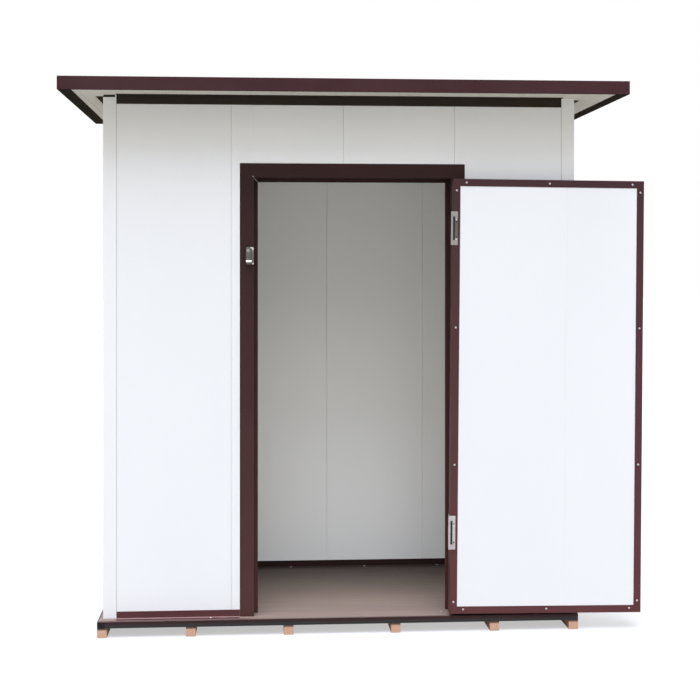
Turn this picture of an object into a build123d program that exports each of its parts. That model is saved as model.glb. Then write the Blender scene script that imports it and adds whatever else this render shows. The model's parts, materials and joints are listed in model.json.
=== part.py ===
from build123d import *
import math
import os

# Storage shed of insulated panels, with a door leaf hung on its right jamb.
# Millimetres, +Z up. X runs along the front, which faces -Y. The origin is on the ground at
# the middle of the underside of the fourth batten, and the fourth is the first one right of
# the room's middle, so every X below starts from middle_x. The door leaf is drawn closed, and then
# turned about its hinge axis to lie open along the front, as it does at rest.

# The room, measured over the outer faces of the wall panels
house_width = 2000.0
house_depth = 1000.0
wall_height = 2199.0
wall_thickness = 50.0

# Floor deck on its battens
batten_width = 40.0
batten_height = 40.0
batten_nudges = [0.0, -30.0, -19.0, 35.0, 58.0, 0.0]  # from even spacing, left to right
deck_thickness = 25.0
deck_ledge_front = 60.0
deck_ledge_back = 60.0
deck_ledge_left = 20.0
deck_ledge_right = 5.0
deck_edge_sheet = 1.2
deck_edge_flange = 14.0
deck_side_flange = 4.0

# Joint lines of the panels: a shallow groove in both faces, with a narrow gap in it on the walls
panel_module = 475.0
front_joint_offset = 9.0  # from the middle of the walls, as all offsets
back_joint_offset = -14.0
groove_width = 6.0
groove_depth = 1.6
joint_gap_width = 1.0
joint_gap_depth = 4.0

# Folded sheet trims
sheet = 1.5
corner_leg = 55.0
corner_inner_leg = 35.0
corner_top_gap = 10.0
base_angle_height = 30.0
base_angle_foot = 28.0
top_angle_drop = 38.0
top_angle_leg = 38.0
corner_strip_width = 48.0
trim_gap = 0.5

# Flat roof of one thickness with a channel round its edge
roof_thickness = 52.0
roof_rib_pitch = 88.0
roof_rib_width = 5.0
roof_rib_depth = 1.5
roof_over_front = 181.0
roof_over_back = 181.0
roof_over_left = 168.0
roof_over_right = 196.0
roof_side_flange = 55.0
roof_end_flange = 12.0

# Door frame, folded round the wall's cut edge
frame_left_offset = -430.0
frame_width = 958.0
frame_height = 1915.0
frame_face = 60.0
frame_proud = 3.0
frame_slope_width = 12.0
frame_slope_drop = 1.5
frame_sheet = 2.0
frame_back_leg = 38.0
stop_width = 16.0
stop_depth = 14.0
stop_clearance = 7.0

# Door leaf
leaf_thickness = 53.0
leaf_side_gap = 9.0
leaf_top_gap = 6.0
leaf_bottom_gap = 12.0
leaf_flange = 31.0
leaf_joint_place = 331.0  # from the latch edge

# Hinges
hinge_places = {"upper": 1640.0, "lower": 355.0}
hinge_lean = 0.25
hinge_plate_height = 142.0
hinge_plate_sheet = 2.0
hinge_jamb_width = 30.0
hinge_inner_width = 29.0
hinge_inner_overhang = 8.0
hinge_leg_setback = 2.0
hinge_window_width = 9.0
hinge_window_height = 100.0
hinge_pin_front = 6.0
hinge_pin_radius = 3.0
hinge_pin_clearance = 0.08
knuckle_radius = 5.0
knuckle_length = 35.0
knuckle_gap = 0.5
hinge_axis_inset = 1.3

# Latch on the leaf's outer face and its keeper on the jamb
latch_height = 1524.0
keeper_width = 33.0
keeper_tall = 74.0
keeper_deep = 22.0
keeper_wall = 2.0
keeper_corner = 6.0
keeper_edge_gap = 1.0
latch_width = 60.0
latch_deep = 24.0
latch_inset = 6.0
bolt_width = 14.0
bolt_reach = 5.0
knob_radius = 13.0
knob_length = 20.0

# Places that follow from the sizes above
deck_top = batten_height + deck_thickness
roof_under = deck_top + wall_height
half_width = house_width / 2
batten_first = -half_width - deck_ledge_left + batten_width / 2
batten_last = half_width + deck_ledge_right - batten_width / 2
batten_step = (batten_last - batten_first) / (len(batten_nudges) - 1)
batten_offsets = [batten_first + place * batten_step + nudge
                  for place, nudge in enumerate(batten_nudges)]
middle_x = -batten_offsets[len(batten_offsets) // 2]
left_x = middle_x - half_width
right_x = middle_x + half_width
front_joint_x = middle_x + front_joint_offset
back_joint_x = middle_x + back_joint_offset
frame_left_x = middle_x + frame_left_offset
front_y = -house_depth / 2
back_y = house_depth / 2
inner_left_x = left_x + wall_thickness
inner_right_x = right_x - wall_thickness
inner_front_y = front_y + wall_thickness
inner_back_y = back_y - wall_thickness
deck_left_x = left_x - deck_ledge_left
deck_right_x = right_x + deck_ledge_right
deck_front_y = front_y - deck_ledge_front
deck_back_y = back_y + deck_ledge_back
frame_right_x = frame_left_x + frame_width
frame_top_z = deck_top + frame_height
frame_face_y = front_y - frame_proud
rebate_left_x = frame_left_x + frame_face
rebate_right_x = frame_right_x - frame_face
rebate_top_z = frame_top_z - frame_face
leaf_left_x = rebate_left_x + leaf_side_gap
leaf_right_x = rebate_right_x - leaf_side_gap
leaf_bottom_z = deck_top + leaf_bottom_gap
leaf_top_z = rebate_top_z - leaf_top_gap
leaf_front_y = frame_face_y
leaf_back_y = leaf_front_y + leaf_thickness
stop_front_y = leaf_back_y + stop_clearance
stop_back_y = stop_front_y + stop_depth
hinge_x = leaf_right_x + hinge_axis_inset
hinge_y = leaf_front_y - hinge_pin_front
hinge_mid_z = deck_top + (hinge_places["upper"] + hinge_places["lower"]) / 2

os.makedirs("parts", exist_ok=True)
written = []


def save(node, shape):
    """Write one sub-part under its own name."""
    shape.label = node
    export_step(shape, f"parts/{node}.step")
    written.append(node)


def span(x0, x1, y0, y1, z0, z1):
    """A block between two corners."""
    middle = Pos((x0 + x1) / 2, (y0 + y1) / 2, (z0 + z1) / 2)
    return middle * Box(x1 - x0, y1 - y0, z1 - z0)


def bar(points, plane, start, length):
    """An outline drawn on a plane and pulled along its normal from start."""
    return plane.offset(start) * extrude(make_face(Polyline(*points, close=True)), length)


def together(pieces):
    """Several separate solids in one sub-part."""
    return Compound(children=list(pieces))


def groove(x, y, out_x, out_y, z0, z1):
    """A pressed line up a panel's face at x, y, which looks along out_x, out_y."""
    side = groove_width / math.sqrt(2)
    shift = groove_width / 2 - groove_depth
    cut = Rot(0, 0, 45) * Box(side, side, z1 - z0)
    return Pos(x + out_x * shift, y + out_y * shift, (z0 + z1) / 2) * cut


def joint(x, y, out_x, out_y, z0, z1):
    """The same line where two panels meet, with the narrow gap between them."""
    size_x = 2 * joint_gap_depth if out_x else joint_gap_width
    size_y = 2 * joint_gap_depth if out_y else joint_gap_width
    gap = Pos(x, y, (z0 + z1) / 2) * Box(size_x, size_y, z1 - z0)
    return groove(x, y, out_x, out_y, z0, z1) + gap


def battens():
    """Raw timber battens under the deck, front to back."""
    half = batten_width / 2
    for number, offset in enumerate(batten_offsets, start=1):
        x = middle_x + offset
        save(f"batten_{number}", span(x - half, x + half, deck_front_y, deck_back_y, 0, batten_height))


def deck():
    """The floor board with a folded edging nailed round it."""
    lip = deck_edge_sheet
    save("floor_board", span(deck_left_x + lip, deck_right_x - lip, deck_front_y + lip, deck_back_y - lip,
                             batten_height, deck_top))
    top = deck_top + lip
    ring = span(deck_left_x, deck_right_x, deck_front_y, deck_back_y, batten_height, top)
    ring -= span(deck_left_x + lip, deck_right_x - lip, deck_front_y + lip, deck_back_y - lip,
                 batten_height, deck_top)
    reach_x, reach_y = deck_side_flange, deck_edge_flange
    ring -= span(deck_left_x + reach_x, deck_right_x - reach_x,
                 deck_front_y + reach_y, deck_back_y - reach_y, deck_top, top)
    edge = (deck_left_x, deck_right_x, deck_front_y, deck_back_y)
    for side, piece in mitred_sides(ring, *edge, reach_x, reach_y).items():
        save(f"deck_edge_{side}", piece)


def mitred_sides(ring, x0, x1, y0, y1, reach_x, reach_y):
    """Cut a flat ring into four sides that meet on a line from its outer to its inner corners."""
    box = ring.bounding_box()
    low, tall = box.min.Z, box.max.Z - box.min.Z
    i0, i1, j0, j1 = x0 + reach_x, x1 - reach_x, y0 + reach_y, y1 - reach_y
    outlines = {
        "front": [(x0, y0), (x1, y0), (i1, j0), (i0, j0)],
        "back": [(x0, y1), (x1, y1), (i1, j1), (i0, j1)],
        "left": [(x0, y0), (i0, j0), (i0, j1), (x0, y1)],
        "right": [(x1, y0), (i1, j0), (i1, j1), (x1, y1)],
    }
    return {side: ring & bar(points, Plane.XY, low, tall) for side, points in outlines.items()}


def front_wall():
    """The front panels, cut beside and over the doorway."""
    cut_left = rebate_left_x - frame_sheet
    cut_right = rebate_right_x + frame_sheet
    cut_top = rebate_top_z + frame_sheet
    joints = [front_joint_x - panel_module, front_joint_x, front_joint_x + panel_module]
    pieces = {
        "front_wall_left": span(inner_left_x, cut_left, front_y, inner_front_y, deck_top, roof_under),
        "front_wall_over_door": span(cut_left, cut_right, front_y, inner_front_y, cut_top, roof_under),
        "front_wall_right": span(cut_right, inner_right_x, front_y, inner_front_y, deck_top, roof_under),
    }
    for node, piece in pieces.items():
        for x in joints:
            piece -= joint(x, front_y, 0, -1, deck_top, roof_under)
            piece -= joint(x, inner_front_y, 0, 1, deck_top, roof_under)
        save(node, piece)


def other_walls():
    """Back and side panels."""
    spans = {"left": (inner_left_x, back_joint_x), "right": (back_joint_x, inner_right_x)}
    for side, (x0, x1) in spans.items():
        piece = span(x0, x1, inner_back_y, back_y, deck_top, roof_under)
        for x in (back_joint_x - panel_module, back_joint_x, back_joint_x + panel_module):
            piece -= joint(x, back_y, 0, 1, deck_top, roof_under)
            piece -= joint(x, inner_back_y, 0, -1, deck_top, roof_under)
        save(f"back_wall_{side}", piece)
    sides = {"left": (left_x, inner_left_x, -1), "right": (right_x, inner_right_x, 1)}
    for side, (outer, inner, outward) in sides.items():
        piece = span(*sorted((outer, inner)), front_y, back_y, deck_top, roof_under)
        piece -= joint(outer, 0, outward, 0, deck_top, roof_under)
        piece -= joint(inner, 0, -outward, 0, deck_top, roof_under)
        save(f"{side}_wall", piece)


def angle_outline(leg_a, leg_b, thick):
    """An angle with its heel at the origin and its legs along +a and +b."""
    return [(0, 0), (leg_a, 0), (leg_a, thick), (thick, thick), (thick, leg_b), (0, leg_b)]


def mirrored(points, flip_a, flip_b):
    """The same outline with either axis turned over."""
    return [(a * flip_a, b * flip_b) for a, b in points]


def corner_trims():
    """White angles over the outer corners and in the inner ones."""
    top = roof_under - corner_top_gap
    for name_y, sy in (("front", -1), ("back", 1)):
        for name_x, sx in (("left", -1), ("right", 1)):
            outer = mirrored(angle_outline(corner_leg, corner_leg, sheet), -sx, -sy)
            outside = bar(outer, Plane.XY, deck_top + deck_edge_sheet, top - deck_top - deck_edge_sheet)
            outside_x = middle_x + sx * (half_width + sheet)
            outside = Pos(outside_x, sy * (house_depth / 2 + sheet), 0) * outside
            inner = mirrored(angle_outline(corner_inner_leg, corner_inner_leg, sheet), -sx, -sy)
            low = deck_top + base_angle_height + trim_gap
            high = roof_under - top_angle_drop - trim_gap
            inside = bar(inner, Plane.XY, low, high - low)
            inside = Pos(middle_x + sx * (half_width - wall_thickness), sy * inner_back_y, 0) * inside
            save(f"corner_trim_{name_y}_{name_x}", together([outside, inside]))


def angle_along_x(x0, x1, wall_y, away, heel_z, leg_up, leg_out, up):
    """An angle along X on a wall face: away is the way its flat leg points, up the way it stands."""
    outline = mirrored(angle_outline(leg_out, leg_up, sheet), away, up)
    return Pos(0, wall_y, heel_z) * bar(outline, Plane.YZ, x0, x1 - x0)


def angle_along_y(y0, y1, wall_x, away, heel_z, leg_up, leg_out, up):
    """The same angle along Y."""
    outline = mirrored(angle_outline(leg_out, leg_up, sheet), away, up)
    return Pos(wall_x, 0, heel_z) * bar(outline, Plane.XZ, -y1, y1 - y0)


def base_angles():
    """Angles screwed to the floor along the foot of each wall, outside and in."""
    outer = sheet - corner_leg - trim_gap
    outer_x0, outer_x1 = left_x - outer, right_x + outer
    outer_y = house_depth / 2 + outer
    inner_y = inner_back_y - base_angle_foot - trim_gap
    up, foot = base_angle_height, base_angle_foot
    fronts = {"left": (outer_x0, frame_left_x - trim_gap, inner_left_x, frame_back_left()),
              "right": (frame_right_x + trim_gap, outer_x1, frame_back_right(), inner_right_x)}
    for side, (x0, x1, i0, i1) in fronts.items():
        outside = angle_along_x(x0, x1, front_y, -1, deck_top, up, foot, 1)
        inside = angle_along_x(i0, i1, inner_front_y, 1, deck_top, up, foot, 1)
        save(f"base_angles_front_{side}", together([outside, inside]))
    outside = angle_along_x(outer_x0, outer_x1, back_y, 1, deck_top, up, foot, 1)
    inside = angle_along_x(inner_left_x, inner_right_x, inner_back_y, -1, deck_top, up, foot, 1)
    save("base_angles_back", together([outside, inside]))
    pieces = []
    for wall_x, inner_x, out in ((left_x, inner_left_x, -1), (right_x, inner_right_x, 1)):
        strip_x = sorted((wall_x, wall_x + out * sheet))
        pieces.append(span(*strip_x, -outer_y, outer_y, deck_top + deck_edge_sheet, deck_top + up))
        pieces.append(angle_along_y(-inner_y, inner_y, inner_x, -out, deck_top, up, foot, 1))
    save("base_angles_sides", together(pieces))


def frame_back_left():
    """Where the inner base angle stops, left of the doorway."""
    return rebate_left_x - frame_sheet - frame_back_leg - trim_gap


def frame_back_right():
    """Where the inner base angle starts, right of the doorway."""
    return rebate_right_x + frame_sheet + frame_back_leg + trim_gap


def top_angles():
    """Angles that tie the wall tops to the roof, outside and in."""
    outer = sheet - corner_leg - trim_gap
    outer_y = house_depth / 2 - corner_leg - 2 * trim_gap
    inner_y = inner_back_y - top_angle_leg - trim_gap
    drop, leg = top_angle_drop, top_angle_leg
    strip_z = roof_under - corner_top_gap + trim_gap
    for name, sy in (("front", -1), ("back", 1)):
        wall_y = sy * house_depth / 2
        outside = angle_along_x(left_x - outer, right_x + outer, wall_y, sy, roof_under, drop, leg, -1)
        wall_y = sy * inner_back_y
        inside = angle_along_x(inner_left_x, inner_right_x, wall_y, -sy, roof_under, drop, leg, -1)
        strip_y = sorted((sy * house_depth / 2, sy * (house_depth / 2 + sheet)))
        strip = span(left_x, left_x + corner_strip_width, *strip_y, strip_z, roof_under)
        save(f"top_angles_{name}", together([outside, inside, strip]))
    pieces = []
    for wall_x, inner_x, out in ((left_x, inner_left_x, -1), (right_x, inner_right_x, 1)):
        pieces.append(angle_along_y(-outer_y, outer_y, wall_x, out, roof_under, drop, leg, -1))
        pieces.append(angle_along_y(-inner_y, inner_y, inner_x, -out, roof_under, drop, leg, -1))
    save("top_angles_sides", together(pieces))


def rib_line(x, face_z, outward, y0, y1):
    """A shallow line rolled into the roof sheet from front to back."""
    cut = Rot(0, 45, 0) * Box(roof_rib_width / math.sqrt(2), y1 - y0, roof_rib_width / math.sqrt(2))
    return Pos(x, (y0 + y1) / 2, face_z + outward * (roof_rib_width / 2 - roof_rib_depth)) * cut


def roof():
    """The roof panels and the channel that closes their edge."""
    x0, x1 = left_x - roof_over_left, right_x + roof_over_right
    y0, y1 = front_y - roof_over_front, back_y + roof_over_back
    top = roof_under + roof_thickness
    panel = span(x0 + sheet, x1 - sheet, y0 + sheet, y1 - sheet, roof_under, top)
    ribs = int((x1 - x0 - 2 * roof_side_flange) // roof_rib_pitch)
    for rib in range(ribs + 1):
        x = (x0 + x1) / 2 + (rib - ribs / 2) * roof_rib_pitch
        for face, outward in ((roof_under, -1), (top, 1)):
            panel -= rib_line(x, face, outward, y0 + roof_end_flange, y1 - roof_end_flange)
    save("roof_panel", panel)
    ring = span(x0, x1, y0, y1, roof_under - sheet, top + sheet)
    ring -= span(x0 + sheet, x1 - sheet, y0 + sheet, y1 - sheet, roof_under, top)
    reach_x, reach_y = roof_side_flange, roof_end_flange
    ring -= span(x0 + reach_x, x1 - reach_x, y0 + reach_y, y1 - reach_y,
                 roof_under - sheet, top + sheet)
    for side, piece in mitred_sides(ring, x0, x1, y0, y1, reach_x, reach_y).items():
        save(f"roof_edge_{side}", piece)


def frame_outline():
    """Section of a jamb: a is 0 at its rebate and grows into the wall, b is 0 at its face."""
    depth = stop_back_y - frame_face_y
    stop = stop_front_y - frame_face_y
    wall_out = frame_proud
    wall_in = frame_proud + wall_thickness
    web = frame_sheet
    slope = frame_face - frame_slope_width
    leg = web + frame_back_leg
    return [(0, 0), (slope, 0), (frame_face, frame_slope_drop), (frame_face, wall_out), (web, wall_out),
            (web, wall_in), (leg, wall_in), (leg, wall_in + web), (web, wall_in + web),
            (web, depth), (-stop_width, depth), (-stop_width, stop), (0, stop)]


def door_frame():
    """Two jambs and a head, mitred at the top corners."""
    section = frame_outline()
    y_low = frame_face_y
    y_deep = stop_back_y - frame_face_y
    tall = frame_top_z - deck_top
    foot_left, foot_right = (frame_left_x, deck_top), (frame_right_x, deck_top)
    top_left, top_right = (frame_left_x, frame_top_z), (frame_right_x, frame_top_z)
    stop_left_x, stop_right_x = rebate_left_x + stop_width, rebate_right_x - stop_width
    stop_left = (stop_left_x, rebate_top_z - stop_width)
    stop_right = (stop_right_x, rebate_top_z - stop_width)
    outlines = {
        "door_jamb_left": [(stop_left_x, deck_top), foot_left, top_left, stop_left],
        "door_jamb_right": [(stop_right_x, deck_top), foot_right, top_right, stop_right],
        "door_frame_head": [stop_left, top_left, top_right, stop_right],
    }
    left = [(rebate_left_x - a, y_low + b) for a, b in section]
    right = [(rebate_right_x + a, y_low + b) for a, b in section]
    head = [(y_low + b, rebate_top_z + a) for a, b in section]
    bars = {
        "door_jamb_left": bar(left, Plane.XY, deck_top, tall),
        "door_jamb_right": bar(right, Plane.XY, deck_top, tall),
        "door_frame_head": bar(head, Plane.YZ, frame_left_x, frame_width),
    }
    for node, outline in outlines.items():
        save(node, bars[node] & bar(outline, Plane.XZ, -y_low - y_deep, y_deep))


def on_axis(z, radius, length):
    """A round bar on the hinge axis, centred on height z before the axis leans."""
    lean = Pos(hinge_x, hinge_y, hinge_mid_z) * Rot(0, hinge_lean, 0)
    return lean * Pos(0, 0, z - hinge_mid_z) * Cylinder(radius, length)


def opened(shape):
    """Swing a piece of the closed door half a turn about the leaning hinge axis."""
    lean = math.radians(hinge_lean)
    axis = Axis((hinge_x, hinge_y, hinge_mid_z), (math.sin(lean), 0, math.cos(lean)))
    return shape.rotate(axis, 180)


def door_leaf():
    """The insulated door panel in a mitred channel."""
    x0, x1, z0, z1 = leaf_left_x, leaf_right_x, leaf_bottom_z, leaf_top_z
    y0, y1 = leaf_front_y, leaf_back_y
    panel = span(x0 + sheet, x1 - sheet, y0 + sheet, y1 - sheet, z0 + sheet, z1 - sheet)
    for face, outward in ((y0 + sheet, -1), (y1 - sheet, 1)):
        panel -= groove(x0 + leaf_joint_place, face, 0, outward, z0, z1)
    save("door_panel", opened(panel))
    ring = span(x0, x1, y0, y1, z0, z1) - span(x0 + sheet, x1 - sheet, y0 + sheet, y1 - sheet,
                                               z0 + sheet, z1 - sheet)
    reach = leaf_flange
    ring -= span(x0 + reach, x1 - reach, y0, y1, z0 + reach, z1 - reach)
    outlines = {
        "top": [(x0, z1), (x1, z1), (x1 - reach, z1 - reach), (x0 + reach, z1 - reach)],
        "bottom": [(x0, z0), (x1, z0), (x1 - reach, z0 + reach), (x0 + reach, z0 + reach)],
        "latch_side": [(x0, z0), (x0 + reach, z0 + reach), (x0 + reach, z1 - reach), (x0, z1)],
        "hinge_side": [(x1, z0), (x1 - reach, z0 + reach), (x1 - reach, z1 - reach), (x1, z1)],
    }
    for side, points in outlines.items():
        save(f"door_trim_{side}", opened(ring & bar(points, Plane.XZ, -y1, y1 - y0)))


def jamb_hinge(z):
    """The jamb's half: a plate on the frame's face, two knuckles and the pin through all three."""
    half = hinge_plate_height / 2
    plate_y = frame_face_y - hinge_plate_sheet
    plate_x = rebate_right_x + hinge_jamb_width
    piece = span(rebate_right_x, plate_x, plate_y, frame_face_y, z - half, z + half)
    for side in (-1, 1):
        middle = z + side * (knuckle_length + knuckle_gap)
        low, high = middle - knuckle_length / 2, middle + knuckle_length / 2
        piece += span(hinge_x, rebate_right_x, plate_y, frame_face_y, low, high)
        piece += span(hinge_x, hinge_x + knuckle_radius, hinge_y, frame_face_y, low, high)
        piece += on_axis(middle, knuckle_radius, knuckle_length)
    return piece + on_axis(z, hinge_pin_radius, 3 * knuckle_length)


def door_hinge(z):
    """The leaf's half: a leg along its edge, a plate with a window on its inner face, a knuckle."""
    half = hinge_plate_height / 2
    edge, back = leaf_right_x, leaf_back_y
    thick = hinge_plate_sheet
    piece = span(edge, edge + thick, leaf_front_y + hinge_leg_setback, back + thick, z - half, z + half)
    outer = edge + hinge_inner_overhang
    piece += span(outer - hinge_inner_width, outer, back, back + thick, z - half, z + half)
    reach = hinge_window_height / 2
    piece -= span(edge - hinge_window_width, edge, back, back + thick, z - reach, z + reach)
    reach = knuckle_length / 2
    piece += span(edge, edge + thick, hinge_y, leaf_front_y + hinge_leg_setback, z - reach, z + reach)
    piece += on_axis(z, knuckle_radius, knuckle_length)
    return piece - on_axis(z, hinge_pin_radius + hinge_pin_clearance, 2 * knuckle_length)


def hinges():
    """An upper and a lower hinge."""
    heights = [deck_top + place for place in hinge_places.values()]
    save("hinge_jamb_plates", together(jamb_hinge(z) for z in heights))
    save("hinge_door_plates", together(opened(door_hinge(z)) for z in heights))


def latch():
    """A keeper box on the left jamb and the latch case on the leaf."""
    z = deck_top + latch_height
    x1 = rebate_left_x - keeper_edge_gap
    x0 = x1 - keeper_width
    y0 = frame_face_y - keeper_deep
    keeper = span(x0, x1, y0, frame_face_y, z - keeper_tall / 2, z + keeper_tall / 2)
    keeper = fillet(keeper.edges().filter_by(Axis.Y), keeper_corner)
    keeper -= span(x0 + keeper_wall, x1, y0 + keeper_wall, frame_face_y - keeper_wall,
                   z - keeper_tall / 2 + keeper_corner, z + keeper_tall / 2 - keeper_corner)
    save("latch_keeper", keeper)
    x0 = leaf_left_x + latch_inset
    y0 = leaf_front_y - latch_deep
    case = span(x0, x0 + latch_width, y0, leaf_front_y, z - keeper_tall / 2, z + keeper_tall / 2)
    case = fillet(case.edges().filter_by(Axis.Y), keeper_corner)
    bolt_y = y0 + latch_deep / 2
    bolt = span(x0 - bolt_reach, x0, bolt_y - bolt_width / 2, bolt_y + bolt_width / 2,
                z - bolt_width, z + bolt_width)
    knob = Rot(90, 0, 0) * Cylinder(knob_radius, knob_length)
    knob = Pos(x0 + latch_width / 2, y0 - knob_length / 2, z) * knob
    save("door_latch", opened(case + bolt + knob))


battens()
deck()
front_wall()
other_walls()
corner_trims()
base_angles()
top_angles()
roof()
door_frame()
door_leaf()
hinges()
latch()
print(len(written), "sub-parts written")
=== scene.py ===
import json
import math

import bmesh
import bpy
from mathutils import Matrix, Vector

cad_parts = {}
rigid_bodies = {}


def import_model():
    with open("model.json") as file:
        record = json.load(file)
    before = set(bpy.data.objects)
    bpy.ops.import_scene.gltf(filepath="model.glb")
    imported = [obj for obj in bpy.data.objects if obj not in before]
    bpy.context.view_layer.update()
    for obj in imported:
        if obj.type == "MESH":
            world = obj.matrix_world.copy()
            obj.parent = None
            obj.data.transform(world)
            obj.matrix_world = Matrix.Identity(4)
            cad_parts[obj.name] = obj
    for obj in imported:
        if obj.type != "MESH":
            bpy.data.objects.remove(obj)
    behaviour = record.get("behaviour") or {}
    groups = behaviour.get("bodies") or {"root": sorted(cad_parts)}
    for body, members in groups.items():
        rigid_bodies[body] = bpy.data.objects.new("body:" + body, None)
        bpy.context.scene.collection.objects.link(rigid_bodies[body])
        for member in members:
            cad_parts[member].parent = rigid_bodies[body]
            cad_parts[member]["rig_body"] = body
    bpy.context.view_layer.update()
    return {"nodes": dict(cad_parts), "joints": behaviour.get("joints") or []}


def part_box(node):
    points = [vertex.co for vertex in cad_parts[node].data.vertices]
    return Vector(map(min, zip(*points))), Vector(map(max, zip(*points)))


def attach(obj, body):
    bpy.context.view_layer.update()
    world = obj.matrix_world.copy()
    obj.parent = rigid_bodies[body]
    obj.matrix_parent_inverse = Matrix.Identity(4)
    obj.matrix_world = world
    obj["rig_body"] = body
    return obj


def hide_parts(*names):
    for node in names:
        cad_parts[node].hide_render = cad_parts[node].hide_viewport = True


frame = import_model()
nodes = frame["nodes"]
scene = bpy.context.scene
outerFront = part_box("front_wall_left")[0].y
print("frame loaded:", len(nodes), "nodes")

# what the finishes are built from
mixSockets = {"factor": 0, "first": 6, "second": 7, "result": 2}    # the Mix node's sockets for colours


def startMaterial(name):
    material = bpy.data.materials.new(name)
    material.use_nodes = True
    tree = material.node_tree
    return material, tree, tree.nodes["Principled BSDF"]


def feed(tree, value, socket):
    if hasattr(value, "is_linked"):
        tree.links.new(value, socket)
    else:
        socket.default_value = value


def noiseOn(tree, stretch, scale, detail=3.0, rough=0.5, twist=0.0):
    place = tree.nodes.new("ShaderNodeTexCoord")
    mapping = tree.nodes.new("ShaderNodeMapping")
    mapping.inputs["Scale"].default_value = stretch
    noise = tree.nodes.new("ShaderNodeTexNoise")
    noise.inputs["Scale"].default_value = scale
    noise.inputs["Detail"].default_value = detail
    noise.inputs["Roughness"].default_value = rough
    noise.inputs["Distortion"].default_value = twist
    tree.links.new(place.outputs["Object"], mapping.inputs["Vector"])
    tree.links.new(mapping.outputs["Vector"], noise.inputs["Vector"])
    return noise.outputs["Fac"]


def ranged(tree, value, low, high, fromLow=0.3, fromHigh=0.7):
    node = tree.nodes.new("ShaderNodeMapRange")
    node.inputs["From Min"].default_value = fromLow
    node.inputs["From Max"].default_value = fromHigh
    node.inputs["To Min"].default_value = low
    node.inputs["To Max"].default_value = high
    tree.links.new(value, node.inputs["Value"])
    return node.outputs["Result"]


def blended(tree, factor, first, second):
    node = tree.nodes.new("ShaderNodeMix")
    node.data_type = "RGBA"
    for name, colour in (("first", first), ("second", second)):
        linked = hasattr(colour, "is_linked")
        feed(tree, colour if linked else (*colour, 1.0), node.inputs[mixSockets[name]])
    tree.links.new(factor, node.inputs[mixSockets["factor"]])
    return node.outputs[mixSockets["result"]]


def maths(tree, operation, *values):
    node = tree.nodes.new("ShaderNodeMath")
    node.operation = operation
    for index, value in enumerate(values):
        feed(tree, value, node.inputs[index])
    return node.outputs["Value"]


def bumped(tree, shader, layers):
    normal = None
    for height, distance in layers:
        node = tree.nodes.new("ShaderNodeBump")
        node.inputs["Distance"].default_value = distance
        node.inputs["Strength"].default_value = 1.0
        tree.links.new(height, node.inputs["Height"])
        if normal:
            tree.links.new(normal, node.inputs["Normal"])
        normal = node.outputs["Normal"]
    tree.links.new(normal, shader.inputs["Normal"])


def onAxis(tree, vector, axis):
    split = tree.nodes.new("ShaderNodeSeparateXYZ")
    tree.links.new(vector, split.inputs["Vector"])
    return split.outputs[axis]


def alongAxis(tree, axis, low, high):    # 0 at low and below, 1 at high and above
    place = tree.nodes.new("ShaderNodeTexCoord").outputs["Object"]
    return ranged(tree, onAxis(tree, place, axis), 0.0, 1.0, low, high)


def awayFrom(tree, axis, centre, low, high):    # 0 up to low from the centre, 1 from high on
    place = tree.nodes.new("ShaderNodeTexCoord").outputs["Object"]
    offset = maths(tree, "SUBTRACT", onAxis(tree, place, axis), centre)
    return ranged(tree, maths(tree, "ABSOLUTE", offset), 0.0, 1.0, low, high)


def facing(tree, low, high):    # 0 where the surface's upward share is low, 1 where it is high
    normal = tree.nodes.new("ShaderNodeNewGeometry").outputs["Normal"]
    return ranged(tree, onAxis(tree, normal, "Z"), 0.0, 1.0, low, high)


# folded and flat sheets with a coat of paint
coat = {"cloudStretch": (1, 1, 1), "grainDetail": 2.0, "rippleDetail": 1.0, "paintedLightMottle": 0.88,
        "downward": (-0.9, -0.6), "upward": (0.6, 0.9)}
brownCoat = {**coat, "cloudScale": 6.0, "grainScale": 1100.0, "grainDepth": 0.00005,
             "roughness": 0.45, "roughSpread": 0.07, "specular": 0.08,
             "rippleStretch": (0.3, 0.6, 0.6), "rippleScale": 12.0, "rippleDepth": 0.0006}
paintedLineCoat = {**coat, "cloudScale": 30.0, "grainScale": 900.0, "grainDepth": 0.00003,
            "roughness": 0.4, "roughSpread": 0.05, "specular": 0.3,
            "rippleStretch": (1, 1, 1), "rippleScale": 20.0, "rippleDepth": 0.0002}


def coatedSheet(name, look):
    material, tree, shader = startMaterial(name)
    cloud = ranged(tree, noiseOn(tree, look["cloudStretch"], look["cloudScale"]), 0.0, 1.0)
    fine = noiseOn(tree, (1, 1, 1), look["grainScale"], look["grainDetail"])
    colour = blended(tree, cloud, look["colour"], look["shade"])
    # painted light by height: a lighter colour low down. On the door frame and the leaf's trim it is painted
    # shade under the eave above and painted light below, on the base angles a painted highlight along the
    # lower edge, on the deck edging a painted reflection band
    if "paintedLightBelow" in look:
        paintedLightBelow = blended(tree, cloud, look["paintedLightBelow"], [look["paintedLightMottle"] * part for part in look["paintedLightBelow"]])
        colour = blended(tree, alongAxis(tree, "Z", *look["paintedLightRise"]), paintedLightBelow, colour)
    # painted shade on the faces that look down
    if "under" in look:
        colour = blended(tree, facing(tree, *look["downward"]), look["under"], colour)
    # faces that look up get their own colour: a painted highlight on the feet and edging tops, painted shade
    # on the roof's top
    if "above" in look:
        above = look["above"]
        if "paintedFrontShadow" in look:    # a painted highlight on the foot's top against the wall, and a painted shadow line along its front edge
            above = blended(tree, alongAxis(tree, "Y", *look["edgeReach"]), look["paintedFrontShadow"], above)
        colour = blended(tree, facing(tree, *look["upward"]), colour, above)
    tree.links.new(colour, shader.inputs["Base Color"])
    smoothest, roughest = look["roughness"] - look["roughSpread"], look["roughness"] + look["roughSpread"]
    tree.links.new(ranged(tree, fine, smoothest, roughest), shader.inputs["Roughness"])
    shader.inputs["Specular IOR Level"].default_value = look["specular"]
    ripple = noiseOn(tree, look["rippleStretch"], look["rippleScale"], look["rippleDetail"])
    bumped(tree, shader, [(ripple, look["rippleDepth"]), (fine, look["grainDepth"])])
    return material


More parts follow.
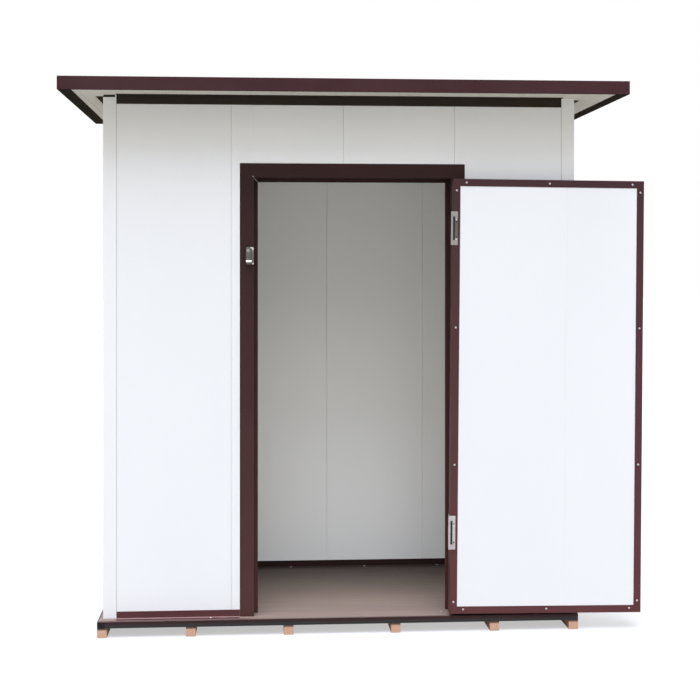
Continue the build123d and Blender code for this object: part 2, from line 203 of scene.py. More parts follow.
whitePanel = coatedSheet("white_panel_sheet", {
    **coat, "colour": (0.872, 0.882, 0.872), "shade": (0.852, 0.864, 0.855),
    "cloudStretch": (1, 1, 0.4), "cloudScale": 2.2, "grainScale": 900.0, "grainDepth": 0.00004,
    "roughness": 0.42, "roughSpread": 0.05, "specular": 0.35,
    "rippleStretch": (1, 1, 0.25), "rippleScale": 7.0, "rippleDepth": 0.0012})
whiteTrim = coatedSheet("white_trim_sheet", {
    **coat, "colour": (0.885, 0.890, 0.875), "shade": (0.862, 0.868, 0.856),
    "cloudStretch": (1, 1, 0.3), "cloudScale": 3.0, "grainScale": 1000.0, "grainDepth": 0.00003,
    "roughness": 0.36, "roughSpread": 0.05, "specular": 0.4,
    "rippleStretch": (1, 1, 0.2), "rippleScale": 10.0, "rippleDepth": 0.0008})
# the roof sheet: its top faces are painted darker than the underside, as painted shade against the strong
# light from above
roofSheet = coatedSheet("roof_underside_sheet", {
    **coat, "colour": (0.69, 0.665, 0.61), "shade": (0.63, 0.61, 0.56), "above": (0.46, 0.465, 0.45),
    "cloudStretch": (1, 0.3, 1), "cloudScale": 4.0, "grainScale": 900.0, "grainDepth": 0.00004,
    "roughness": 0.5, "roughSpread": 0.08, "specular": 0.0,
    "rippleStretch": (1, 0.3, 1), "rippleScale": 9.0, "rippleDepth": 0.0010})
# the door frame, painted darker towards the top as painted shade under the eave and lighter low down as
# painted light
brownTrim = coatedSheet("brown_trim_sheet", {
    **brownCoat, "colour": (0.036, 0.0160, 0.0150), "shade": (0.031, 0.0155, 0.0140), "cloudScale": 5.0,
    "paintedLightBelow": (0.088, 0.0385, 0.0335), "paintedLightRise": (0.1, 1.9),
    "rippleStretch": (0.6, 0.6, 0.3), "rippleDepth": 0.0008})
# the leaf's trim, painted darker towards the top as painted shade under the eave and lighter low down as
# painted light
doorTrim = coatedSheet("door_trim_sheet", {
    **brownCoat, "colour": (0.068, 0.0310, 0.0345), "shade": (0.058, 0.0280, 0.0315), "cloudScale": 5.0,
    "paintedLightBelow": (0.124, 0.0440, 0.0440), "paintedLightRise": (0.05, 1.9), "roughness": 0.42, "specular": 0.1,
    "rippleStretch": (0.6, 0.6, 0.3), "rippleDepth": 0.0008})
# the roof's edging, with painted shade on its faces that look down
roofTrim = coatedSheet("roof_trim_sheet", {
    **brownCoat, "colour": (0.073, 0.0355, 0.0365), "shade": (0.059, 0.0265, 0.0295), "cloudScale": 4.0,
    "under": (0.030, 0.026, 0.020), "roughness": 0.5, "specular": 0.0, "rippleDepth": 0.0008})
shadedTrim = coatedSheet("top_angle_sheet", {
    **brownCoat, "colour": (0.047, 0.037, 0.029), "shade": (0.040, 0.033, 0.027),
    "roughness": 0.5, "specular": 0.0})
# the base angles at the front: a painted highlight along the upright's lower edge and on the foot's top, and a
# painted shadow line along the foot's front edge
baseTrim = coatedSheet("base_angle_sheet", {
    **brownCoat, "colour": (0.108, 0.0420, 0.0430), "shade": (0.090, 0.0360, 0.0380),
    "paintedLightBelow": (0.118, 0.0460, 0.0480), "paintedLightRise": (0.065, 0.09), "above": (0.40, 0.25, 0.235),
    "paintedFrontShadow": (0.040, 0.020, 0.020), "edgeReach": (outerFront - 0.0165, outerFront - 0.0145)})
# the back and side base angles: a darker copy of the brown trim as painted shade, with a painted highlight on
# the foot's top
roomTrim = coatedSheet("skirting_sheet", {
    **brownCoat, "colour": (0.030, 0.0140, 0.0130), "shade": (0.026, 0.0130, 0.0120),
    "above": (0.050, 0.038, 0.035)})
# the deck's edging: a painted reflection band on its lower half and a painted highlight on its top
deckTrim = coatedSheet("deck_edging_sheet", {
    **brownCoat, "colour": (0.046, 0.0230, 0.0230), "shade": (0.034, 0.0190, 0.0180), "cloudScale": 8.0,
    "paintedLightBelow": (0.042, 0.038, 0.038), "paintedLightRise": (0.050, 0.058), "above": (0.115, 0.078, 0.074),
    "roughness": 0.55, "roughSpread": 0.08})
lapTrim = coatedSheet("deck_corner_sheet", {
    **brownCoat, "colour": (0.024, 0.0200, 0.0200), "shade": (0.016, 0.0140, 0.0140), "cloudScale": 30.0,
    "roughness": 0.55, "roughSpread": 0.08, "rippleStretch": (1, 1, 1), "rippleDepth": 0.0004})
# painted highlights along the open mitre; the brighter one is for the part on the stop, which lies in shade
seamLight = coatedSheet("painted_mitre_highlight", {
    **paintedLineCoat, "colour": (0.42, 0.37, 0.35), "shade": (0.34, 0.30, 0.28)})
seamGlint = coatedSheet("painted_mitre_highlight_deep", {
    **paintedLineCoat, "colour": (0.80, 0.74, 0.70), "shade": (0.72, 0.66, 0.62)})
# a painted shadow line along the corner trims' edges
trimShadowLine = coatedSheet("corner_trim_shadow_line", {
    **paintedLineCoat, "colour": (0.44, 0.445, 0.43), "shade": (0.36, 0.365, 0.355),
    "cloudStretch": (1, 1, 0.4), "cloudScale": 12.0, "roughness": 0.6, "specular": 0.1})


def woodFacedBoard(name, look):
    material, tree, shader = startMaterial(name)
    streak = ranged(tree, noiseOn(tree, look["streakStretch"], 1.0, *look["streakNoise"]), 0.0, 1.0)
    patch = ranged(tree, noiseOn(tree, look["patchStretch"], 1.0, look["patchDetail"]), 0.0, 1.0)
    fine = noiseOn(tree, look["fineStretch"], 1.0, *look["fineNoise"])
    base = blended(tree, streak, look["dark"], look["light"])
    base = blended(tree, ranged(tree, patch, 0.0, look["patchShare"], 0.0, 1.0), base, look["patch"])
    # painted light and shade: light near the doorway, dark towards the back
    lightPool = blended(tree, streak, look["pooledLight"], [look["pooledLightShade"] * part for part in look["pooledLight"]])
    base = blended(tree, alongAxis(tree, "Y", *look["pooledLightFrom"]), lightPool, base)
    fringe = blended(tree, awayFrom(tree, "X", *look["doorway"]), base, look["fringe"])
    base = blended(tree, alongAxis(tree, "Y", *look["fringeReach"]), fringe, base)
    tree.links.new(base, shader.inputs["Base Color"])
    tree.links.new(ranged(tree, fine, look["roughLow"], look["roughHigh"]), shader.inputs["Roughness"])
    shader.inputs["Specular IOR Level"].default_value = look["specular"]
    bumped(tree, shader, [(fine, look["grainDepth"])])
    return material


# the board is painted light by the doorway and dark towards the back, as painted light and shade from the
# doorway; its front fringe is darker and redder, but not before the doorway (the doorway's middle, and where
# the darker fringe starts)
floorWood = woodFacedBoard("floor_board_face", {
    "dark": (0.042, 0.029, 0.022), "light": (0.090, 0.063, 0.050),
    "patch": (0.063, 0.046, 0.037), "patchShare": 0.6,
    "pooledLight": (0.328, 0.240, 0.196), "pooledLightShade": 0.82, "pooledLightFrom": (-0.5, 0.3),
    "fringe": (0.175, 0.095, 0.088), "fringeReach": (outerFront - 0.030, outerFront - 0.027),
    "doorway": (-0.177, 0.42, 0.46),
    "streakStretch": (2.2, 42.0, 42.0), "streakNoise": (6.0, 0.62, 0.4),
    "patchStretch": (3.0, 7.0, 7.0), "patchDetail": 2.0,
    "fineStretch": (14.0, 420.0, 420.0), "fineNoise": (4.0, 0.7),
    "roughLow": 0.45, "roughHigh": 0.6, "specular": 0.2, "grainDepth": 0.0002})


def sawnTimber(name, look):
    material, tree, shader = startMaterial(name)
    place = tree.nodes.new("ShaderNodeTexCoord")
    mapping = tree.nodes.new("ShaderNodeMapping")
    mapping.inputs["Location"].default_value = look["pith"]
    rings = tree.nodes.new("ShaderNodeTexWave")
    rings.wave_type = "RINGS"
    rings.rings_direction = "Y"
    rings.inputs["Scale"].default_value = look["ringScale"]
    rings.inputs["Distortion"].default_value = look["ringTwist"]
    rings.inputs["Detail"].default_value = look["ringDetail"]
    rings.inputs["Detail Scale"].default_value = look["ringDetailScale"]
    tree.links.new(place.outputs["Object"], mapping.inputs["Vector"])
    tree.links.new(mapping.outputs["Vector"], rings.inputs["Vector"])
    fibre = noiseOn(tree, look["fibreStretch"], 1.0, *look["fibreNoise"])
    tone = blended(tree, rings.outputs["Fac"], look["early"], look["late"])
    tone = blended(tree, ranged(tree, fibre, 0.0, look["fibreShare"]), tone, look["pale"])
    # painted shadow: darker along the battens' tops, under the deck's edge
    tone = blended(tree, alongAxis(tree, "Z", *look["shadeUnderDeckRise"]), tone, look["shadeUnderDeck"])
    tree.links.new(tone, shader.inputs["Base Color"])
    shader.inputs["Roughness"].default_value = look["roughness"]
    shader.inputs["Specular IOR Level"].default_value = look["specular"]
    bumped(tree, shader, [(fibre, look["fibreDepth"])])
    return material


# sawn battens, with a painted shadow along their tops
rawTimber = sawnTimber("sawn_softwood", {
    "early": (0.66, 0.40, 0.27), "late": (0.50, 0.27, 0.17), "pale": (0.74, 0.50, 0.37),
    "shadeUnderDeck": (0.10, 0.062, 0.045), "shadeUnderDeckRise": (0.030, 0.036), "pith": (0.013, 0.0, 0.055),
    "ringScale": 46.0, "ringTwist": 3.0, "ringDetail": 3.0, "ringDetailScale": 1.4,
    "fibreStretch": (160.0, 9.0, 160.0), "fibreNoise": (5.0, 0.65), "fibreShare": 0.55,
    "fibreDepth": 0.0006, "roughness": 0.78, "specular": 0.25})

steel = {"metal": 0.9, "brushNoise": (3.0, 0.7), "cloudNoise": (40.0, 2.0)}


def brushedSteel(name, look):
    material, tree, shader = startMaterial(name)
    brush = noiseOn(tree, look["brushStretch"], 1.0, *look["brushNoise"])
    cloud = noiseOn(tree, (1, 1, 1), *look["cloudNoise"])
    colour = blended(tree, ranged(tree, cloud, 0.0, 1.0), look["colour"], look["shade"])
    if "topShade" in look:    # painted shade: darker towards the top, where the upper hinge lies in the eave's shade, and a painted shadow beside the upper plate's slot
        beside = blended(tree, alongAxis(tree, "X", *look["shadowFrom"]), look["topShade"], look["shadow"])
        shadedTop = blended(tree, awayFrom(tree, "Z", *look["shadowReach"]), beside, look["topShade"])
        colour = blended(tree, alongAxis(tree, "Z", *look["topShadeRise"]), colour, shadedTop)
    tree.links.new(colour, shader.inputs["Base Color"])
    tree.links.new(ranged(tree, brush, look["roughLow"], look["roughHigh"]), shader.inputs["Roughness"])
    shader.inputs["Metallic"].default_value = look["metal"]
    bumped(tree, shader, [(brush, look["brushDepth"])])
    return material


# hinge steel, with painted shade on the upper hinge
hingeSteel = brushedSteel("brushed_hinge_steel", {
    **steel, "colour": (0.54, 0.49, 0.475), "shade": (0.42, 0.38, 0.37), "metal": 1.0,
    "topShade": (0.33, 0.300, 0.290), "topShadeRise": (0.5, 1.6), "shadow": (0.145, 0.125, 0.118),
    "shadowFrom": (0.2480, 0.2510), "shadowReach": (1.705, 0.037, 0.042),
    "brushStretch": (1500.0, 1500.0, 30.0), "roughLow": 0.24, "roughHigh": 0.42, "brushDepth": 0.00003})
screwZinc = brushedSteel("zinc_screw_heads", {
    **steel, "colour": (0.86, 0.84, 0.82), "shade": (0.74, 0.72, 0.70),
    "brushStretch": (700.0, 700.0, 700.0), "roughLow": 0.25, "roughHigh": 0.4, "brushDepth": 0.00002})
dullSteel = brushedSteel("dull_keeper_steel", {
    **steel, "colour": (0.17, 0.155, 0.145), "shade": (0.12, 0.11, 0.10),
    "brushStretch": (300.0, 300.0, 900.0), "roughLow": 0.35, "roughHigh": 0.5, "brushDepth": 0.00003})
# painted shade for the screws' cross slots and the hinge plates' holes and slots
recessShade = brushedSteel("painted_recess_shade", {
    **steel, "colour": (0.035, 0.033, 0.032), "shade": (0.02, 0.02, 0.02), "metal": 0.6,
    "brushStretch": (900.0, 900.0, 900.0), "roughLow": 0.5, "roughHigh": 0.7, "brushDepth": 0.00002})
print("materials made")

# the frame's own pieces, with softened edges and their finish
hinge = frame["joints"][0]
pin, axis = Vector(hinge["pos_m"]), Vector(hinge["axis"]).normalized()
softening = {"weld": 0.00001, "flat": math.radians(1.5), "sharp": math.radians(35),
             "smoothUpTo": math.radians(20), "knuckle": 0.0075}
rounded = ("hinge_jamb", "hinge_door", "door_latch")
finishes = [    # how the node's name starts, its finish and slot, and the width and steps of its bevel
    ("batten", rawTimber, "raw_timber", 0.0012, 2),
    ("floor_board", floorWood, "floor_board", 0.0004, 1),
    ("deck_edge", deckTrim, "brown_trim", 0.0004, 2),
    (("front_wall", "left_wall", "right_wall", "back_wall"), whitePanel, "white_panel", 0.0006, 1),
    ("door_panel", whitePanel, "white_panel", 0.0006, 1),
    ("corner_trim", whiteTrim, "white_trim", 0.0005, 2),
    ("base_angles_front", baseTrim, "brown_trim", 0.0005, 2),
    (("base_angles_back", "base_angles_sides"), roomTrim, "brown_trim", 0.0005, 2),
    ("top_angles", shadedTrim, "brown_trim", 0.0005, 2),
    ("roof_panel", roofSheet, "roof_sheet", 0.0004, 1),
    ("roof_edge", roofTrim, "roof_trim", 0.0005, 2),
    (("door_jamb", "door_frame_head"), brownTrim, "brown_trim", 0.0006, 2),
    ("door_trim", doorTrim, "door_trim", 0.0005, 2),
    ("hinge_jamb", brownTrim, "hinge_steel", 0.0003, 2),
    ("hinge_door", hingeSteel, "hinge_steel", 0.0003, 2),
    ("door_latch", hingeSteel, "hinge_steel", 0.0008, 2),
]


def finishedCopy(node, material, width, segments):
    source = nodes[node]
    mesh = source.data.copy()
    for name in [a.name for a in mesh.attributes if a.name == "custom_normal"]:
        mesh.attributes.remove(mesh.attributes[name])
    bm = bmesh.new()
    bm.from_mesh(mesh)
    bmesh.ops.remove_doubles(bm, verts=bm.verts, dist=softening["weld"])
    bmesh.ops.dissolve_limit(bm, angle_limit=softening["flat"], verts=bm.verts, edges=bm.edges)
    sharp = [e for e in bm.edges if len(e.link_faces) == 2 and e.calc_face_angle(0.0) > softening["sharp"]]
    bmesh.ops.bevel(bm, geom=sharp, offset=width, offset_type="OFFSET", segments=segments, profile=0.5,
                    material=-1, clamp_overlap=True, affect="EDGES")
    bm.to_mesh(mesh)
    bm.free()
    mesh.materials.clear()
    mesh.materials.append(material)
    smooth = node.startswith(rounded)
    mesh.polygons.foreach_set("use_smooth", [smooth] * len(mesh.polygons))
    if smooth:
        mesh.set_sharp_from_angle(angle=softening["smoothUpTo"])
    if node == "hinge_door_plates":    # the knuckles are painted with the frame
        mesh.materials.append(brownTrim)
        for face in mesh.polygons:
            away = face.center - pin - axis * (face.center - pin).dot(axis)
            face.material_index = 1 if away.length < softening["knuckle"] else 0
    piece = bpy.data.objects.new(node + "_finished", mesh)
    scene.collection.objects.link(piece)
    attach(piece, source["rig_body"])
    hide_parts(node)


for node in sorted(nodes):
    for start, material, slot, width, segments in finishes:
        if node.startswith(start):
            finishedCopy(node, material, width, segments)
            break
print("frame nodes finished")

# fittings that the frame doesn't hold: the leaf's are placed as on the closed leaf, then swung open
swing = Matrix.Translation(pin) @ Matrix.Rotation(math.pi, 4, axis) @ Matrix.Translation(-pin)
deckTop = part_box("floor_board")[1].z


def newPiece(name, bm, materials, body):
    bmesh.ops.recalc_face_normals(bm, faces=bm.faces)
    mesh = bpy.data.meshes.new(name)
    bm.to_mesh(mesh)
    bm.free()
    for material in materials:
        mesh.materials.append(material)
    piece = bpy.data.objects.new(name, mesh)
    scene.collection.objects.link(piece)
    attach(piece, body)
    return piece


def edgesOf(made):
    return {e for v in made["verts"] for e in v.link_edges}


def paint(made, index):
    for face in {f for v in made["verts"] for f in v.link_faces}:
        face.material_index = index


# a screw's head with its crossed slot: shares of its radius and height
headShape = {"sides": 14, "topShare": 0.78, "turn": 0.7, "rimFrom": 0.9, "rimBevel": 0.35, "rimSteps": 2,
             "slotLong": 1.05, "slotWide": 0.2, "slotHigh": 0.1}


def addScrews(bm, places, outward, size, turn=Matrix.Identity(4)):
    radius, height = size["radius"], size["height"]
    aim = Vector(outward).to_track_quat("Z", "Y").to_matrix().to_4x4()
    for index, place in enumerate(places):
        at = turn @ Matrix.Translation(place) @ aim @ Matrix.Rotation(headShape["turn"] * index, 4, "Z")
        head = bmesh.ops.create_cone(bm, cap_ends=True, segments=headShape["sides"], radius1=radius,
                                     radius2=radius * headShape["topShare"], depth=height,
                                     matrix=at @ Matrix.Translation((0, 0, height / 2)))
        rim = [e for e in edgesOf(head)
               if all((at.inverted() @ v.co).z > height * headShape["rimFrom"] for v in e.verts)]
        bmesh.ops.bevel(bm, geom=rim, offset=height * headShape["rimBevel"], offset_type="OFFSET",
                        segments=headShape["rimSteps"], profile=0.5, material=-1, affect="EDGES")
        # the cross slot is a thin box painted with the recess shade
        for quarter in (0, 1):
            cross = Matrix.Rotation(quarter * math.pi / 2, 4, "Z") @ Matrix.Diagonal(
                (radius * headShape["slotLong"], radius * headShape["slotWide"],
                 height * headShape["slotHigh"], 1))
            top = at @ Matrix.Translation((0, 0, height))
            paint(bmesh.ops.create_cube(bm, size=1.0, matrix=top @ cross), 1)


leaf = {"hingeEdge": 0.233, "freeEdge": -0.587, "bottom": 0.077, "top": 1.914,
        "innerFace": -0.450, "outerFace": -0.503, "inset": 0.0155, "lowRowLift": 0.003,
        "rows": (0.062, 0.641, 1.221, 1.800), "columns": (0.057, 0.413, 0.770),
        "screw": {"radius": 0.0043, "height": 0.0022}}
bm = bmesh.new()
for face, outward in ((leaf["innerFace"], (0, 1, 0)), (leaf["outerFace"], (0, -1, 0))):
    spots = [Vector((x, face, deckTop + row)) for row in leaf["rows"]
             for x in (leaf["hingeEdge"] - leaf["inset"], leaf["freeEdge"] + leaf["inset"])]
    lowRow, highRow = leaf["bottom"] + leaf["inset"] + leaf["lowRowLift"], leaf["top"] - leaf["inset"]
    spots += [Vector((leaf["hingeEdge"] - column, face, z)) for column in leaf["columns"]
              for z in (lowRow, highRow)]
    addScrews(bm, spots, outward, leaf["screw"], swing)
newPiece("door_trim_screws", bm, [screwZinc, recessShade], "door")

plate = {"face": -0.448, "place": 0.2185,
         "slotPlace": 0.2285, "slotFace": -0.450, "slotSize": (0.0086, 0.0004, 0.0996), "slotBevel": 0.0001,
         "upper": {"centre": 1.705, "holes": (0.027, -0.039), "burrs": (0.036, -0.047)},
         "lower": {"centre": 0.420, "holes": (0.037, -0.041), "burrs": (0.028,)},
         "hole": {"radius": 0.0030, "height": 0.0004}, "burr": {"radius": 0.0032, "height": 0.0012}}
# the hinge plates' holes and slots are thin pieces painted with the recess shade
holes, burrs, slots = bmesh.new(), bmesh.new(), bmesh.new()
for side in (plate["upper"], plate["lower"]):
    for bm, rows, size in ((holes, side["holes"], plate["hole"]), (burrs, side["burrs"], plate["burr"])):
        spots = [Vector((plate["place"], plate["face"], side["centre"] + z)) for z in rows]
        addScrews(bm, spots, (0, 1, 0), size, swing)
    at = swing @ Matrix.Translation((plate["slotPlace"], plate["slotFace"], side["centre"]))
    slotCube = bmesh.ops.create_cube(slots, size=1.0, matrix=at @ Matrix.Diagonal((*plate["slotSize"], 1)))
    bmesh.ops.bevel(slots, geom=list(edgesOf(slotCube)), offset=plate["slotBevel"],
                    offset_type="OFFSET", segments=1, profile=0.5, material=-1, affect="EDGES")
newPiece("hinge_plate_holes", holes, [recessShade, recessShade], "door")
newPiece("hinge_plate_screws", burrs, [screwZinc, recessShade], "door")
newPiece("hinge_slot_shadow", slots, [recessShade], "door")

# screws along the feet of the walls, and one at the right jamb's foot
skirting = {"threshold": (0.207, -0.470), "pitch": 0.361, "first": -0.417, "steps": (-2, 3), "inset": 0.016,
            "sheet": 0.0015, "offCorner": 0.06, "offDoorLeft": 0.03, "offDoorRight": 0.1,
            "sideRows": (-0.22, 0.22), "screw": {"radius": 0.0045, "height": 0.0022}}
innerBack, outerBack = [corner.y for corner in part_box("back_wall_left")]
roomLeft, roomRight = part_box("back_wall_left")[0].x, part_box("back_wall_right")[1].x
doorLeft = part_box("base_angles_front_left")[1].x - skirting["offDoorLeft"]
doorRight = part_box("base_angles_front_right")[0].x + skirting["offDoorRight"]
footTop = deckTop + skirting["sheet"]
bm = bmesh.new()
before, after = skirting["steps"]
count = int((roomRight - skirting["first"]) / skirting["pitch"]) + after
for step in range(before, count):
    x = skirting["first"] + step * skirting["pitch"]
    if roomLeft + skirting["offCorner"] < x < roomRight - skirting["offCorner"]:
        rows = [innerBack - skirting["inset"], outerBack + skirting["inset"]]
        if x < doorLeft or x > doorRight:
            rows.append(outerFront - skirting["inset"])
        addScrews(bm, [Vector((x, y, footTop)) for y in rows], (0, 0, 1), skirting["screw"])
for y in skirting["sideRows"]:
    for x in (roomLeft + skirting["inset"], roomRight - skirting["inset"]):
        addScrews(bm, [Vector((x, y, footTop))], (0, 0, 1), skirting["screw"])
addScrews(bm, [Vector((*skirting["threshold"], deckTop))], (0, 0, 1), skirting["screw"])
newPiece("skirting_screws", bm, [screwZinc, recessShade], "shed")


def addBox(bm, spans, corner=0.0, steps=1, along="y"):    # corner rounds the edges that run along one axis
    lowest, highest = [Vector([spans[name][end] for name in "xyz"]) for end in (0, 1)]
    size, middle = highest - lowest, (highest + lowest) / 2
    cube = bmesh.ops.create_cube(bm, size=1.0, matrix=Matrix.Translation(middle) @ Matrix.Diagonal((*size, 1)))
    if corner:
        run = "xyz".index(along)
        ends = [(e, e.verts[0].co - e.verts[1].co) for e in edgesOf(cube)]
        picked = [e for e, reach in ends if abs(reach[run]) > size[run] / 2]
        bmesh.ops.bevel(bm, geom=picked, offset=corner, offset_type="OFFSET", segments=steps, profile=0.5,
                        material=-1, clamp_overlap=True, affect="EDGES")


# the keeper: a bent steel box on the jamb, open towards the leaf, with a lip top and bottom
low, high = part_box("latch_keeper")
keeper = {
    "body": {
        "face": {"x": (low.x, low.x + 0.021), "y": (low.y + 0.0030, low.y + 0.0050),
                 "z": (low.z + 0.004, high.z - 0.002), "corner": 0.004, "steps": 3},
        "side": {"x": (low.x, low.x + 0.0018), "y": (low.y + 0.0050, high.y),
                 "z": (low.z + 0.004, high.z - 0.004)},
        "mouth": {"x": (high.x - 0.009, high.x - 0.0005), "y": (low.y + 0.0020, low.y + 0.0045),
                  "z": (low.z + 0.006, high.z - 0.013), "corner": 0.001, "steps": 2},
        "back": {"x": (low.x, high.x), "y": (high.y - 0.0020, high.y),
                 "z": (low.z, high.z), "corner": 0.006, "steps": 4}},
    "lips": {
        "bottom": {"x": (low.x + 0.0005, high.x - 0.0095), "y": (low.y, high.y - 0.003),
                   "z": (low.z + 0.0085, low.z + 0.0175), "corner": 0.004, "steps": 4, "along": "x"},
        "top": {"x": (high.x - 0.0145, high.x - 0.0045), "y": (low.y + 0.001, high.y - 0.004),
                "z": (high.z - 0.0065, high.z - 0.0010), "corner": 0.0026, "steps": 4},
        "topCurl": {"x": (high.x - 0.0080, high.x - 0.0010), "y": (low.y + 0.001, high.y - 0.004),
                    "z": (high.z - 0.0125, high.z - 0.0030), "corner": 0.0030, "steps": 4},
        "bottomCurl": {"x": (high.x - 0.0060, high.x - 0.0006), "y": (low.y + 0.001, high.y - 0.006),
                       "z": (low.z + 0.0005, low.z + 0.0055), "corner": 0.0020, "steps": 3}},
    "tabs": {
        "wide": {"x": (low.x + 0.0035, low.x + 0.0150), "y": (low.y + 0.0016, low.y + 0.0032),
                 "z": (high.z - 0.0215, high.z - 0.0085), "corner": 0.0035, "steps": 3},
        "narrow": {"x": (high.x - 0.0090, high.x - 0.0030), "y": (low.y + 0.0008, low.y + 0.0022),
                   "z": (high.z - 0.0200, high.z - 0.0150), "corner": 0.0020, "steps": 3}},
}


def keeperPiece(group, material):
    bm = bmesh.new()
    for box in keeper[group].values():
        addBox(bm, box, box.get("corner", 0.0), box.get("steps", 1), box.get("along", "y"))
    return newPiece("keeper_" + group, bm, [material], "shed")


keeperPiece("body", dullSteel)
keeperLips = keeperPiece("lips", screwZinc)
keeperPiece("tabs", hingeSteel)
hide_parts("latch_keeper")

# the mitre at the head's left corner stands a little open: a thin strip along it is a painted highlight,
# brighter on the stop, which lies in shade
seam = {"width": 0.0020, "faceLength": 0.0065, "lift": 0.0003, "stop": 0.016, "stopFront": -0.443,
        "faceFront": -0.503, "hingeGap": 0.009, "doorway": 0.838}
rebateLeft = leaf["hingeEdge"] + seam["hingeGap"] - seam["doorway"]
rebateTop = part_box("door_frame_head")[0].z + seam["stop"]
bm = bmesh.new()
for start, end, y, finish in ((-seam["stop"], 0.0, seam["stopFront"], 1),
                              (0.0, seam["faceLength"], seam["faceFront"], 0)):
    middle = (start + end) / 2
    length = (end - start) * math.sqrt(2)
    centre = Matrix.Translation((rebateLeft - middle, y - seam["lift"], rebateTop + middle))
    at = centre @ Matrix.Rotation(math.pi / 4, 4, "Y")
    shape = Matrix.Diagonal((length, seam["lift"] * 2, seam["width"], 1))
    paint(bmesh.ops.create_cube(bm, size=1.0, matrix=at @ shape), finish)
newPiece("mitre_seam", bm, [seamLight, seamGlint], "shed")

# a fine painted shadow line along the trim's edge on the walls' outer faces, two at each corner
joint = {"sheet": 0.0015, "width": 0.0014, "depth": 0.0009, "near": 0.0002}
bm = bmesh.new()
for front, left in ((True, True), (True, False), (False, True), (False, False)):
    node = "corner_trim_" + ("front" if front else "back") + ("_left" if left else "_right")
    low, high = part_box(node)
    places = [v.co for v in nodes[node].data.vertices]
    for across, along, atLow, inwards in ((1, 0, front, 1 if left else -1), (0, 1, left, 1 if front else -1)):
        outer = (low if atLow else high)[across]
        reach = [place[along] for place in places if abs(place[across] - outer) < joint["near"]]
        edge = max(reach) if inwards == 1 else min(reach)
        wallSide = 1 if atLow else -1
        wall = outer + wallSide * joint["sheet"]
        addBox(bm, {"xyz"[along]: sorted((edge, edge + inwards * joint["width"])),
                    "xyz"[across]: sorted((wall, wall - wallSide * joint["depth"])), "z": (low.z, high.z)})
newPiece("corner_trim_shadow_lines", bm, [trimShadowLine], "shed")

# the deck's side edging is lapped round its left corners
lap = {"width": 0.031, "sheet": 0.0008, "drop": 0.0006}
bm = bmesh.new()
low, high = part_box("deck_edge_front")
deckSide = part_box("deck_edge_left")[0].x
for face, outward in ((low.y, -1), (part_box("deck_edge_back")[1].y, 1)):
    addBox(bm, {"x": (deckSide, deckSide + lap["width"]), "y": sorted((face, face + outward * lap["sheet"])),
                "z": (low.z + lap["drop"], high.z - lap["drop"])})
newPiece("deck_corner_laps", bm, [lapTrim], "shed")
print("fittings made")

# light, floor and camera
studio = {"lowSky": (0.535, 0.522, 0.475), "highSky": (1.15, 1.18, 1.36), "rampLow": 0.38, "rampHigh": 0.72,
          "seenSky": (1.0, 1.0, 1.0), "floorSeen": 0.4, "floorBounce": (0.405, 0.379, 0.322),
          "floorGlow": 0.5, "floorRoughness": 0.9, "floorHalf": 60.0, "fillColour": (1.0, 0.98, 0.92)}
suns = {"key": {"rise": 69.0, "turn": -8.0, "spread": 44.0, "strength": 3.34, "colour": (0.755, 0.81, 0.97)},
        "lowKey": {"rise": 36.0, "turn": 4.0, "spread": 20.0, "strength": 0.17, "colour": (0.93, 0.96, 1.0)}}
roomFills = {"high_room_fill": {"place": (-0.177, -0.40, 2.02), "size": (0.75, 0.2), "power": 0.34},
             "room_fill": {"place": (-0.177, -0.40, 1.05), "size": (0.75, 1.1), "power": 0.37},
             "low_room_fill": {"place": (-0.177, -0.40, 0.48), "size": (0.75, 0.6), "power": 1.42}}


def seenDirectly(tree):
    path = tree.nodes.new("ShaderNodeLightPath")
    plain = maths(tree, "MAXIMUM", path.outputs["Is Camera Ray"], path.outputs["Is Glossy Ray"])
    return maths(tree, "MAXIMUM", plain, path.outputs["Is Transmission Ray"])


world = bpy.data.worlds.new("studio_light")
world.use_nodes = True
scene.world = world
sky = world.node_tree
direction = sky.nodes.new("ShaderNodeTexCoord").outputs["Generated"]
height = ranged(sky, onAxis(sky, direction, "Z"), 0.0, 1.0, studio["rampLow"], studio["rampHigh"])
skyColour = blended(sky, height, studio["lowSky"], studio["highSky"])
seenColour = blended(sky, seenDirectly(sky), skyColour, studio["seenSky"])
sky.links.new(seenColour, sky.nodes["Background"].inputs["Color"])

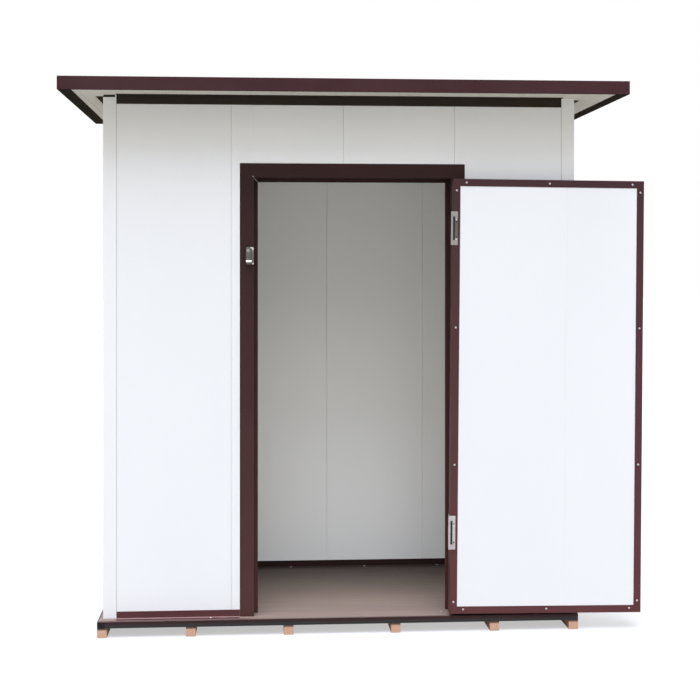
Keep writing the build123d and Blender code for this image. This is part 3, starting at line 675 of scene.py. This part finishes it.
bm = bmesh.new()
bmesh.ops.create_grid(bm, x_segments=1, y_segments=1, size=studio["floorHalf"])
floorMesh = bpy.data.meshes.new("studio_floor")
bm.to_mesh(floorMesh)
bm.free()
floorMaterial, floorTree, floorShader = startMaterial("studio_floor")
directly = seenDirectly(floorTree)
floorTone = blended(floorTree, directly, studio["floorBounce"], (studio["floorSeen"],) * 3)
floorTree.links.new(floorTone, floorShader.inputs["Base Color"])
floorShader.inputs["Roughness"].default_value = studio["floorRoughness"]
floorShader.inputs["Specular IOR Level"].default_value = 0.0
glow = blended(floorTree, directly, (0.0, 0.0, 0.0), (studio["floorGlow"],) * 3)
floorTree.links.new(glow, floorShader.inputs["Emission Color"])
floorShader.inputs["Emission Strength"].default_value = 1.0
floorMesh.materials.append(floorMaterial)
studioFloor = bpy.data.objects.new("studio_floor", floorMesh)
scene.collection.objects.link(studioFloor)

for name, sun in suns.items():
    lamp = bpy.data.lights.new(name, "SUN")
    lamp.energy = sun["strength"]
    lamp.angle = math.radians(sun["spread"])
    lamp.color = sun["colour"]
    holder = bpy.data.objects.new(name, lamp)
    holder.rotation_euler = (math.radians(90 - sun["rise"]), 0, math.radians(sun["turn"]))
    scene.collection.objects.link(holder)

for name, fill in roomFills.items():    # they stand in the doorway and light the room only
    lamp = bpy.data.lights.new(name, "AREA")
    lamp.shape = "RECTANGLE"
    lamp.size, lamp.size_y = fill["size"]
    lamp.energy = fill["power"]
    lamp.color = studio["fillColour"]
    holder = bpy.data.objects.new(name, lamp)
    holder.location = fill["place"]
    holder.rotation_euler = (math.radians(90), 0, 0)
    holder.visible_camera = False
    holder.visible_glossy = False
    scene.collection.objects.link(holder)
print("light set")

view = {"place": (-0.5851, -6.3175, 1.5433), "turn": -4.085, "lens": 70.59, "sensor": 36.0,
        "shiftX": -0.0067, "shiftY": -0.1193}
cameraData = bpy.data.cameras.new("photo_camera")
cameraData.lens = view["lens"]
cameraData.sensor_width = view["sensor"]
cameraData.shift_x = view["shiftX"]
cameraData.shift_y = view["shiftY"]
camera = bpy.data.objects.new("photo_camera", cameraData)
camera.location = view["place"]
camera.rotation_euler = (math.radians(90), 0, math.radians(view["turn"]))
scene.collection.objects.link(camera)
scene.camera = camera
scene.view_settings.view_transform = "Standard"
